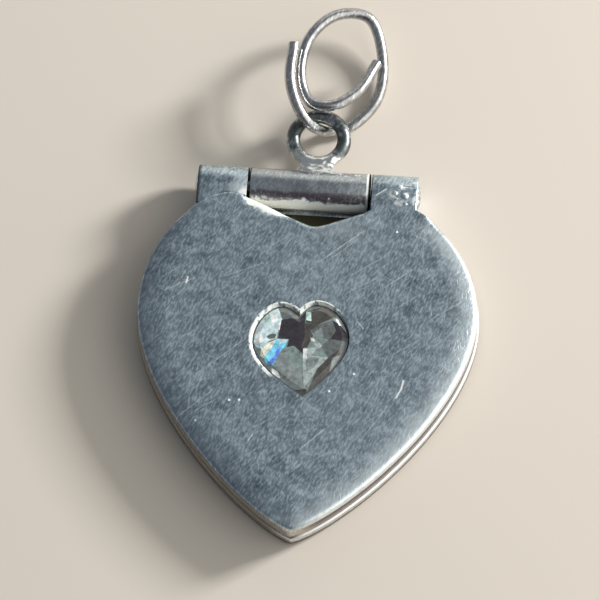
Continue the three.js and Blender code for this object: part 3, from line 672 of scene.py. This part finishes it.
plate_silver.laid([plate_silver.ramp(solder, 0.76, 1.0)], DULL_SOLDER, 0.35, 0.0)
# The worn edge's share, on which the painted highlight and painted shade are laid.
worn = front_plate.data.attributes.new("worn_edge_light", "FLOAT", "POINT")
bright = front_plate.data.attributes.new("solder", "FLOAT", "POINT")
places = [vertex.co[:2] for vertex in front_plate.data.vertices]
for i, ((x, y), distance) in enumerate(zip(places, distances(places, heart))):
    worn.data[i].value = max(0, 1 - distance / ROLL_WIDTH) ** 1.5 * (1 - share_of(y, 10.0, 11.6))
    bright.data[i].value = soldered(x, y, distance)
settle(front_plate, "front_cover", "satin_silver", plate_silver.finished(), "front_plate")

# Outer knuckles: two lengths of the same tube, soldered in flats on the front cover.
# Each has a web up to the plate and is filed flush with it; the right one has a rough outer end.
TUBE_LEFT, TUBE_RIGHT, ROUNDED_END = -8.55, 7.19, 0.06
FILED_LEFT, LEFT_LAST, RIGHT_LAST = TOP_Z - 0.07, 457, 450
WEB_LOW = SEAM_Z + 0.1
LUMPS = ((6.8, 12.75, 2.8, 0.46), (6.3, 13.2, 2.95, 0.34), (6.85, 13.6, 2.8, 0.42), (5.6, 13.4, 2.98, 0.26),
         (7.0, 13.1, 2.3, 0.40), (6.35, 12.6, 2.92, 0.30), (5.9, 13.9, 2.95, 0.28), (6.5, 14.1, 2.8, 0.32))
LUMP_SHAPE = (1, 0.9, 0.75)
LIT_CORNER, SHADED_END = (0.80, 0.86, 0.86), (0.10, 0.13, 0.15)
meets = 180 - math.degrees(math.asin((WEB_LOW - AXIS_Z) / TUBE))
knuckle_silver = Silver("rubbed_knuckle_silver_with_painted_light", DARK_SATIN, LIGHT_SATIN, 0.38, 1.4)
# Painted shade darkens the left knuckle's outer end; a pale patch and a white one near its inner end, and
# white patches on the right knuckle, are painted highlights.
knuckle_silver.laid([knuckle_silver.along("x", -8.2, -8.5)], SHADED_END, 0.4)
knuckle_silver.laid([knuckle_silver.near((-5.2, 12.8, 3.0), 0.5, 1.5, 0.9), 0.5], LIT_CORNER, 0.35, 0.4)
knuckle_silver.laid([knuckle_silver.near((-5.15, 12.75, 3.0), 0.25, 0.7, 0.9)], WHITE_RUB_AND_HIGHLIGHT, 0.3, 0.1)
knuckle_silver.laid([knuckle_silver.scratch((4.2, 13.1), (5.05, 13.75), 0.07)], WHITE_RUB_AND_HIGHLIGHT, 0.3, 0.4)
glint_patches = knuckle_silver.ramp(knuckle_silver.cloud(1.7, 4.0, 0.6), 0.50, 0.62)
knuckle_silver.laid([knuckle_silver.near((6.6, 13.2, 3.0), 0.8, 2.0), glint_patches, 0.8], WHITE_RUB_AND_HIGHLIGHT, 0.25, 0.3)
# Painted shade: the outer knuckles' ends beside the slits are painted black.
for end, within in ((LEFT_END, -0.06), (RIGHT_START, 0.08)):
    past = [knuckle_silver.along("x", end + within, end + within / 2),
            knuckle_silver.along("x", end - within * 4, end - within * 3)]
    knuckle_silver.laid(past, SLIT_SHADE, 0.5)
outer_silver = knuckle_silver.finished()
for name, start, end, top, last in (("left_knuckle", TUBE_LEFT, LEFT_END, FILED_LEFT, LEFT_LAST),
                                    ("right_knuckle", RIGHT_START, TUBE_RIGHT, TOP_Z, RIGHT_LAST)):
    line = [(SEAT_Y, top), (SEAT_Y, WEB_LOW)] + tube_arc(meets, last)
    knuckle = along_x(name + "_tube", line, start, end)
    eased(knuckle, ROUNDED_END, 3)
    if end == TUBE_RIGHT:
        for x, y, z, size in LUMPS:
            bpy.ops.mesh.primitive_ico_sphere_add(subdivisions=3, radius=size, location=(x, y, z))
            bpy.ops.transform.resize(value=LUMP_SHAPE)
            worked(knuckle, "UNION", fixed())
    worked(knuckle, "DIFFERENCE", rod("bore", BORE, -FAR, FAR, 48),
           slab("plate_room", heart, PLATE_Z, OVER_ALL))
    settle(knuckle, "front_cover", "satin_silver", outer_silver, name)

# Hinge pin: a silver wire through the bores of the three knuckles.
# Both of its ends are hammered over into low domes, and tarnish has darkened it.
PIN, HEAD, DOME = 0.5, 0.85, 0.22
INTO_HEAD, HEAD_ROOM = 0.01, 2.0
pin = rod("hinge_pin_wire", PIN, TUBE_LEFT - INTO_HEAD, TUBE_RIGHT + INTO_HEAD, 48)
for end, way in ((TUBE_LEFT, -1), (TUBE_RIGHT, 1)):
    bpy.ops.mesh.primitive_uv_sphere_add(segments=48, ring_count=24, radius=1, location=(end, AXIS_Y, AXIS_Z))
    bpy.ops.transform.resize(value=(DOME, HEAD, HEAD))
    head = fixed()
    near_side, far_side = sorted((end, end - way * HEAD_ROOM))
    worked(head, "DIFFERENCE", block((near_side, AXIS_Y - HEAD_ROOM, AXIS_Z - HEAD_ROOM),
                                     (far_side, AXIS_Y + HEAD_ROOM, AXIS_Z + HEAD_ROOM)))
    worked(pin, "UNION", head)
pin_silver = Silver("tarnished_pin_silver", (0.22, 0.24, 0.25), (0.85, 0.87, 0.86), 0.30, 1.0, 0.3, 0.3)
settle(pin, "front_cover", "darkened_silver", pin_silver.finished(), "hinge_pin")

# Stone bezel: a thin collar of silver in the plate's opening, with a flange under the plate.
# Its inner side carries a painted highlight at the upper left, and a ledge inside it carries the stone.
CHAMFER, RIM_EDGE, LEAST_FLARE = 0.2, 0.03, 0.15
FLARE_WAY, FLARE_FROM, OVER_TOP = (-0.6, 0.8), (-0.3, 0.4), 0.01
FILED_RIM, RIM_HIGHLIGHT = (0.34, 0.38, 0.39), (0.95, 0.98, 0.93)
outer_rim, flange_rim = -BEZEL - 2 * BEZEL_GAP, -BEZEL - BEZEL_GAP - FLANGE
bezel = slab("stone_bezel_collar", moved_in(stone_heart, outer_rim), PLATE_Z - FLANGE_Z, TOP_Z)
worked(bezel, "UNION", slab("flange", moved_in(stone_heart, flange_rim), PLATE_Z - FLANGE_Z, PLATE_Z))
worked(bezel, "DIFFERENCE", slab("seat", moved_in(stone_heart, -BEZEL_GAP), PLATE_Z, OVER_ALL),
       slab("throat", moved_in(stone_heart, LEDGE), 0, OVER_ALL))
flare = slab("flare", moved_in(stone_heart, -BEZEL_GAP), TOP_Z - CHAMFER, TOP_Z)
for vertex in flare.data.vertices:
    if vertex.co.z > TOP_Z - OVER_TOP:
        out = (vertex.co.xy - Vector((STONE_X, STONE_Y))).normalized()
        lean = LEAST_FLARE + (1 - LEAST_FLARE) * share_of(out.dot(FLARE_WAY), *FLARE_FROM)
        vertex.co.xy += out * (BEZEL - RIM_EDGE) * lean
        vertex.co.z = TOP_Z + OVER_TOP
worked(bezel, "DIFFERENCE", flare)
rim_silver = Silver("rim_silver_with_painted_highlight", DARK_SATIN, LIGHT_SATIN, 0.40)
upper_left = rim_silver.math("SUBTRACT", rim_silver.y, rim_silver.x)
upper_left = rim_silver.scaled(rim_silver.cloud(0.9, 3.0), 3.0, upper_left)
lit_inner_side = [rim_silver.along("z", TOP_Z - 0.40, TOP_Z - 0.30), rim_silver.ramp(upper_left, 2.2, 3.6),
              rim_silver.ramp(rim_silver.cloud(2.6, 3.0), 0.38, 0.46)]
rim_silver.laid([rim_silver.along("z", TOP_Z - 0.01, TOP_Z - 0.04)], FILED_RIM, 0.45, 0.3)
# A painted highlight, broken by cloud, on the upper left of the inner side.
rim_silver.laid(lit_inner_side, RIM_HIGHLIGHT, 0.30, 0.05)
settle(bezel, "front_cover", "polished_silver", rim_silver.finished(), "stone_bezel")

# Heart stone: a clear stone cut in facets, a little below the plate's face.
# Its back facets meet in a keel, and each facet has its own patch of light or dark painted into its colour, a
# painted reflection.
CROWN, GIRDLE, PAVILION, BELOW = 0.15, 0.12, 1.4, 0.08
CROWN_WIDTH, STONE_RIM, ON_THE_RIM, STONE_STEPS = 0.45, 0.07, 0.0005, 8
RIM_MIDDLE_Y, KEEL_MERGE, SEAM_MERGE = -0.5, 0.02, 0.0002
BACK_FACETS, KEEL, FACET_TURN = ((0.62, 0.62, 1), (0.02, 0.24, 1)), (0, 0.2, 0), 40
girdle_top = TOP_Z - BELOW - CROWN
stone_line = heart_outline(STONE, STONE, STONE_STEPS)

# Each facet is its painted reflection tone and its corners on the stone's face; later ones lie over earlier
# ones.
BLACK, BROWN = (0.035, 0.028, 0.034), (0.075, 0.068, 0.06)
SLATE, GREY = (0.13, 0.145, 0.14), (0.24, 0.275, 0.27)
GREEN, PALE, ICE, MINT = (0.21, 0.27, 0.255), (0.40, 0.46, 0.45), (0.62, 0.76, 0.78), (0.60, 0.82, 0.74)
SKY, BLUE, STRAW, WHITE = (0.22, 0.68, 0.95), (0.16, 0.30, 0.92), (0.86, 0.87, 0.70), (0.92, 0.95, 0.93)
FACETS = (
    (GREY, ((-1.5, -0.3), (-0.5, 0.3), (0.1, -0.2), (0.0, -2.8), (-0.9, -2.8), (-1.7, -2.0),
            (-1.7, -1.1))),
    (GREEN, ((-0.5, 0.3), (0.1, -0.2), (0.05, -1.5), (-0.9, -0.9), (-1.0, -0.2))),
    (ICE, ((-3.4, 0.9), (-3.1, 2.0), (-2.6, 2.8), (-2.1, 3.2), (-1.5, 3.4), (-1.1, 2.4), (-1.5, 1.8),
           (-1.7, 1.0), (-2.3, 0.8), (-2.7, 0.2), (-3.1, 0.4))),
    (MINT, ((-2.5, 2.7), (-2.2, 2.8), (-2.1, 2.1), (-2.5, 2.1))),
    (WHITE, ((-2.1, 2.9), (-1.6, 2.9), (-1.6, 2.3), (-2.0, 2.1))),
    (WHITE, ((-3.2, 1.3), (-2.8, 1.6), (-2.6, 0.8), (-3.0, 0.6))),
    (SLATE, ((-2.4, 1.2), (-2.0, 1.4), (-1.7, 1.3), (-1.8, 1.0), (-2.3, 1.0))),
    (WHITE, ((-1.6, 2.0), (-1.2, 2.4), (-1.3, 1.9), (-1.5, 1.6))),
    (SLATE, ((-1.5, 3.3), (-0.6, 3.4), (0.4, 3.1), (-0.2, 2.3), (-1.2, 2.3))),
    (BLACK, ((-1.3, 2.4), (-0.6, 2.5), (-0.2, 2.4), (0.4, 3.0), (0.3, 1.1), (-0.2, 0.8), (-0.8, 0.9),
             (-1.6, 1.0))),
    (BLACK, ((-0.8, 0.9), (0.3, 1.1), (0.1, -0.2), (-0.5, 0.4), (-1.0, 0.3))),
    (BROWN, ((0.3, 2.1), (1.2, 1.9), (0.7, 1.5), (0.9, 1.1), (0.7, 0.8), (0.4, 0.1), (0.0, 0.2),
             (0.3, 1.1))),
    (BROWN, ((0.4, 3.0), (2.1, 3.4), (2.6, 2.5), (1.2, 1.9), (0.4, 2.1))),
    (MINT, ((0.45, 3.0), (0.8, 2.9), (0.8, 2.2), (0.45, 2.3))),
    (SLATE, ((1.2, 1.9), (2.3, 2.2), (2.6, 1.0), (2.1, 0.7), (1.1, 1.1), (0.7, 1.5))),
    (GREY, ((1.0, 1.4), (1.5, 1.7), (1.6, 1.0), (1.1, 1.0))),
    (BLACK, ((2.3, 2.2), (2.8, 1.9), (3.6, 1.0), (3.2, 0.5), (2.1, 0.8), (2.5, 1.4))),
    (PALE, ((2.5, 2.4), (2.9, 2.6), (3.8, 1.0), (3.4, 1.0), (2.8, 1.9))),
    (WHITE, ((2.5, 2.3), (2.7, 2.3), (2.9, 1.8), (2.75, 1.8))),
    (SLATE, ((2.1, 0.8), (3.5, 0.5), (3.3, -0.8), (2.7, -1.1), (2.7, 0.0), (1.9, -0.6), (1.4, 0.3))),
    (BROWN, ((1.9, -0.6), (2.7, 0.0), (2.8, -1.3), (1.3, -2.6), (0.3, -3.1), (1.1, -1.4))),
    (GREY, ((2.2, -0.6), (2.8, -0.4), (2.5, -1.5), (1.9, -1.7))),
    (PALE, ((0.1, -2.8), (0.1, -0.6), (0.7, -0.4), (1.9, -0.6), (1.1, -1.4), (0.5, -2.3))),
    (GREY, ((0.3, -0.7), (0.7, -0.5), (1.3, -0.6), (0.9, -1.3), (0.3, -1.6))),
    (PALE, ((0.2, 0.2), (1.2, 0.2), (0.7, -0.4), (0.4, -0.7), (0.1, -0.6))),
    (WHITE, ((0.15, 0.15), (0.45, 0.1), (0.4, -0.6), (0.12, -0.6))),
    (PALE, ((0.8, 0.9), (1.1, 0.8), (1.5, 0.3), (1.2, 0.1), (0.9, 0.5))),
    (WHITE, ((0.68, 0.95), (0.95, 0.9), (1.0, 0.65), (0.75, 0.7))),
    (STRAW, ((-2.8, 0.2), (-2.3, 0.7), (-1.7, 0.9), (-2.0, 0.3), (-2.6, -0.5), (-2.9, -0.2))),
    (SKY, ((-1.7, 0.95), (-0.85, 0.9), (-1.1, 0.4), (-1.6, -0.2), (-2.0, -1.0), (-2.5, -0.9),
           (-2.6, -0.4), (-2.0, 0.4))),
    (BLUE, ((-1.7, 0.2), (-1.4, 0.3), (-1.6, -0.3), (-2.1, -1.0), (-2.4, -0.8), (-1.9, -0.4))),
    (ICE, ((-1.6, 0.9), (-0.85, 0.9), (-1.0, 0.7), (-1.5, 0.6))),
    (BROWN, ((-1.1, -2.9), (0.3, -2.9), (0.3, -3.6), (-0.5, -3.5))),
    (WHITE, ((-2.1, -1.2), (-1.7, -1.5), (-1.5, -1.95), (-1.8, -1.9), (-2.1, -1.6))),
)


def toned(mesh, tones):
    """Gives each face of a mesh its tone."""
    colours = mesh.color_attributes.new("facet", "FLOAT_COLOR", "CORNER")
    for face, tone in zip(mesh.polygons, tones):
        for corner in face.loop_indices:
            colours.data[corner].color = (*tone, 1)


rings = [stone_line, moved_in(stone_line, STONE_RIM), moved_in(stone_line, CROWN_WIDTH)]
for tone, corners in FACETS:
    turn = sum(a[0] * b[1] - b[0] * a[1] for a, b in zip(corners, corners[1:] + corners[:1]))
    rings.append([Vector(corner) for corner in (corners if turn > 0 else corners[::-1])])
ring_tones = [BLACK, GREEN, GREEN] + [tone for tone, corners in FACETS]
spots, joined = [], []
for ring_points in rings:
    joined.append(list(range(len(spots), len(spots) + len(ring_points))))
    spots += ring_points
laid_out = geometry.delaunay_2d_cdt(spots, [], joined, 1, 0.0001, True)
spots, faces, inside_of = laid_out[0], laid_out[2], laid_out[5]
kept = [i for i, rings_around in enumerate(inside_of) if 0 in rings_around]
deep = distances(spots, stone_line)
top = bpy.data.meshes.new("facets")
heights = [girdle_top + CROWN * min(1, depth / CROWN_WIDTH) for depth in deep]
top.from_pydata([(*spot, z) for spot, z in zip(spots, heights)], [], [faces[i] for i in kept])
toned(top, [ring_tones[max(inside_of[i])] if 1 in inside_of[i] else SLATE for i in kept])
facets = bpy.data.objects.new("facets", top)
bpy.context.collection.objects.link(facets)

# The stone's side and its back facets start from the rim that the upper facets end in.
used = {corner for i in kept for corner in faces[i]}
rim = sorted((spots[i] for i in used if deep[i] < ON_THE_RIM),
             key=lambda spot: math.atan2(-spot.x, spot.y - RIM_MIDDLE_Y))
stone = slab("heart_stone_cut", rim, girdle_top - GIRDLE, girdle_top)
pick(stone, "FACE", lambda face: face.normal.z < -0.99 and len(face.vertices) > 4)
for scale in BACK_FACETS:
    bpy.ops.mesh.extrude_region_move(TRANSFORM_OT_translate={"value": (0, 0, -PAVILION / 2)})
    bpy.ops.transform.resize(value=scale, center_override=KEEL)
bpy.ops.mesh.remove_doubles(threshold=KEEL_MERGE)
mode("OBJECT")
pick(stone, "FACE", lambda face: face.normal.z > 0.99 and len(face.vertices) > 4)
bpy.ops.mesh.delete(type="ONLY_FACE")
mode("OBJECT")
turns = [math.degrees(math.atan2(face.center.y, face.center.x)) for face in stone.data.polygons]
toned(stone.data, [(SLATE, PALE, GREY, ICE)[round(turn / FACET_TURN) % 4] for turn in turns])
only(stone)
facets.select_set(True)
bpy.ops.object.join()
mode("EDIT")
bpy.ops.mesh.select_all(action="SELECT")
bpy.ops.mesh.remove_doubles(threshold=SEAM_MERGE)
bpy.ops.mesh.delete_loose()
mode("OBJECT")
gem = Sheet("cut_stone_facets")
tint = gem.add("ShaderNodeAttribute", attribute_name="facet").outputs["Color"]
veil = gem.scaled(gem.cloud(2.0, 4.0, 0.65), 2.4, -0.2)
# Painted glints brighten small spots of the painted facet tones.
glint = gem.ramp(gem.cloud(5.5, 3.0, 0.6), 0.58, 0.68)
tint = gem.add("ShaderNodeVectorMath", tint, operation="SCALE")
gem.feed(tint.inputs["Scale"], gem.scaled(glint, 0.25, veil))
cut = gem.shown({"Base Color": tint.outputs[0], "Roughness": 0.12, "IOR": 1.6, "Coat Weight": 1.0,
                 "Coat Roughness": 0.02})
stone.data.transform(Matrix.Translation((STONE_X, STONE_Y, 0)) @ Matrix.Rotation(STONE_TURN, 4, "Z"))
settle(stone, "front_cover", "cut_stone", cut, "heart_stone", smooth=3)

# Split ring: one and a half turns of round wire, sprung open, led through the bail loop.
# Its two ends are cut square and stand apart where the ring was pulled open.
RING_LENGTH, RING_WIRE, RING_CLEARANCE = 9.75, 0.4, 0.1
ROUTE_STEPS, CUT_EASE = 4, 0.06
RING_ROUTE = ((-2.2, 4.65, 2.15), (-2.3, 2.0, 2.0), (-1.75, 0.2, 1.7), (-1.0, -0.8, 1.1),
              (-0.05, -1.0, -0.05), (1.1, -0.5, -1.14), (2.25, -0.1, -1.07), (3.9, 2.05, -1.03),
              (4.1, 5.15, -0.7), (2.95, 7.9, 0.2), (0.7, 7.7, 0.9), (-1.15, 5.6, 1.3), (-1.6, 2.55, 1.25),
              (-0.75, 0.6, 1.1), (0.85, 0.5, 1.0), (2.55, 1.8, 0.75), (3.75, 4.35, 0.25))


def smooth_route(points, steps):
    """A curve through the points, with its knots spaced by the root of their distance."""
    points = [2 * points[0] - points[1]] + list(points) + [2 * points[-1] - points[-2]]
    made = []
    for i in range(1, len(points) - 2):
        a, b, c, d = points[i - 1:i + 3]
        first, second, third = (math.sqrt((q - p).length) for p, q in ((a, b), (b, c), (c, d)))
        leave = ((b - a) / first - (c - a) / (first + second) + (c - b) / second) * second
        arrive = ((c - b) / second - (d - b) / (second + third) + (d - c) / third) * second
        for step in range(steps):
            t = step / steps
            made.append(b * (2 * t ** 3 - 3 * t * t + 1) + leave * (t ** 3 - 2 * t * t + t)
                        + c * (3 * t * t - 2 * t ** 3) + arrive * (t ** 3 - t * t))
    return made + [points[-2]]


def clear_of_loop(point):
    """Keeps the ring's wire off the bail loop's wire."""
    centre = Vector((0, -LOOP, 0))
    level = (Vector((point.x, point.y, 0)) - centre).normalized() * LOOP + centre
    away = point - level
    least = LOOP_WIRE + RING_WIRE + RING_CLEARANCE
    return level + away * max(1, least / away.length)


lengthwise = [point[1] for point in RING_ROUTE]
scale = (RING_LENGTH - 2 * RING_WIRE) / (max(lengthwise) - min(lengthwise))
route = smooth_route([Vector(point) * scale for point in RING_ROUTE], ROUTE_STEPS)
route = smooth_route([clear_of_loop(point) for point in route], ROUTE_STEPS)
bpy.ops.curve.primitive_nurbs_path_add(location=(0, 0, 0))
ring = bpy.context.object
ring.name = "split_ring_wire"
ring.data.splines.clear()
spline = ring.data.splines.new("POLY")
spline.points.add(len(route) - 1)
for knot, point in zip(spline.points, route):
    knot.co = (*(point + Vector((LOOP_X, LOOP_Y + LOOP, AXIS_Z))), 1)
ring.data.dimensions = "3D"
ring.data.bevel_depth, ring.data.bevel_resolution, ring.data.use_fill_caps = RING_WIRE, 6, True
only(ring)
bpy.ops.object.convert(target="MESH")
ring = bpy.context.object
eased(ring, CUT_EASE, 3, 60)
ring_silver = Silver("rubbed_ring_silver", (0.20, 0.20, 0.205), (0.72, 0.72, 0.72), 0.25, 0.8, 0.2, 0.3)
settle(ring, "ring", "polished_silver", ring_silver.finished(), "split_ring", smooth=50)

# Floor: a plain pale surface under the locket, like a sheet of thick matt paper.
# It carries no print or grain, and keeps the soft shadow of the object.
FLOOR_COLOUR = (0.76, 0.685, 0.595, 1)
bpy.ops.mesh.primitive_plane_add(size=4, location=(0, 0, 0))
floor = bpy.context.object
floor.name = "floor"
floor.data.materials.append(Sheet("pale_floor").shown({"Base Color": FLOOR_COLOUR, "Roughness": 0.9}))

# Light: a small soft lamp low on the right, which draws the edges and the shadows.
# The room round it is dim, with a bright window on the right, a paler wall above and a dark patch below.
LAMP_WAY, LAMP_AWAY, LAMP_SIZE, LAMP_POWER = Vector((0.808, 0.459, 0.368)), 0.35, 0.07, 1.6
ROOM, BACKDROP = (0.20, 0.22, 0.24, 1), (0.80, 0.78, 0.75, 1)
PATCHES = (((0.9, -0.15, 0.42), 54, 10, (1.5, 1.48, 1.4, 1)),
           ((0.1, 0.95, 0.3), 36, 12, (0.9, 0.9, 0.86, 1)),
           ((0.07, -0.84, 0.54), 34, 14, (0.08, 0.07, 0.08, 1)))
bpy.ops.object.light_add(type="AREA", location=LAMP_WAY * LAMP_AWAY)
key = bpy.context.object
key.name = "key_light"
key.data.size, key.data.energy = LAMP_SIZE, LAMP_POWER
key.rotation_mode = "QUATERNION"
key.rotation_quaternion = key.location.to_track_quat("Z", "Y")

world = bpy.data.worlds.new("studio")
bpy.context.scene.world = world
room = Nodes(world)
room.tree.nodes.clear()
way = room.add("ShaderNodeTexCoord").outputs["Generated"]
light = ROOM
for direction, wide, narrow, colour in PATCHES:
    dot = room.add("ShaderNodeVectorMath", way, Vector(direction).normalized(), operation="DOT_PRODUCT")
    patch = room.ramp(dot.outputs["Value"], math.cos(math.radians(wide)), math.cos(math.radians(narrow)))
    light = room.blend(patch, light, colour, "RGBA")
light = room.blend(room.add("ShaderNodeLightPath").outputs["Is Camera Ray"], light, BACKDROP, "RGBA")
glow = room.add("ShaderNodeBackground", light)
room.add("ShaderNodeOutputWorld", glow.outputs[0])

# Camera: it looks down at the locket from the tip's side, as the photograph does.
# Its place and its turn are fitted to the outline of the heart, the hinge's ends and the side of the case.
LENS, SENSOR, CAMERA = 285.1, 36, (0.016334, -0.122011, 0.313295)
RIGHT, UP, BEHIND = (0.99698, 0.0739, -0.02408), (-0.05922, 0.92293, 0.38039), (0.05033, -0.37782, 0.92451)
bpy.ops.object.camera_add()
camera = bpy.context.object
camera.data.lens, camera.data.sensor_width = LENS, SENSOR
camera.data.clip_start, camera.data.clip_end = 0.01, 10
camera.matrix_world = Matrix.Translation(CAMERA) @ Matrix((RIGHT, UP, BEHIND)).transposed().to_4x4()
bpy.context.scene.camera = camera
bpy.context.scene.view_settings.view_transform = "Standard"
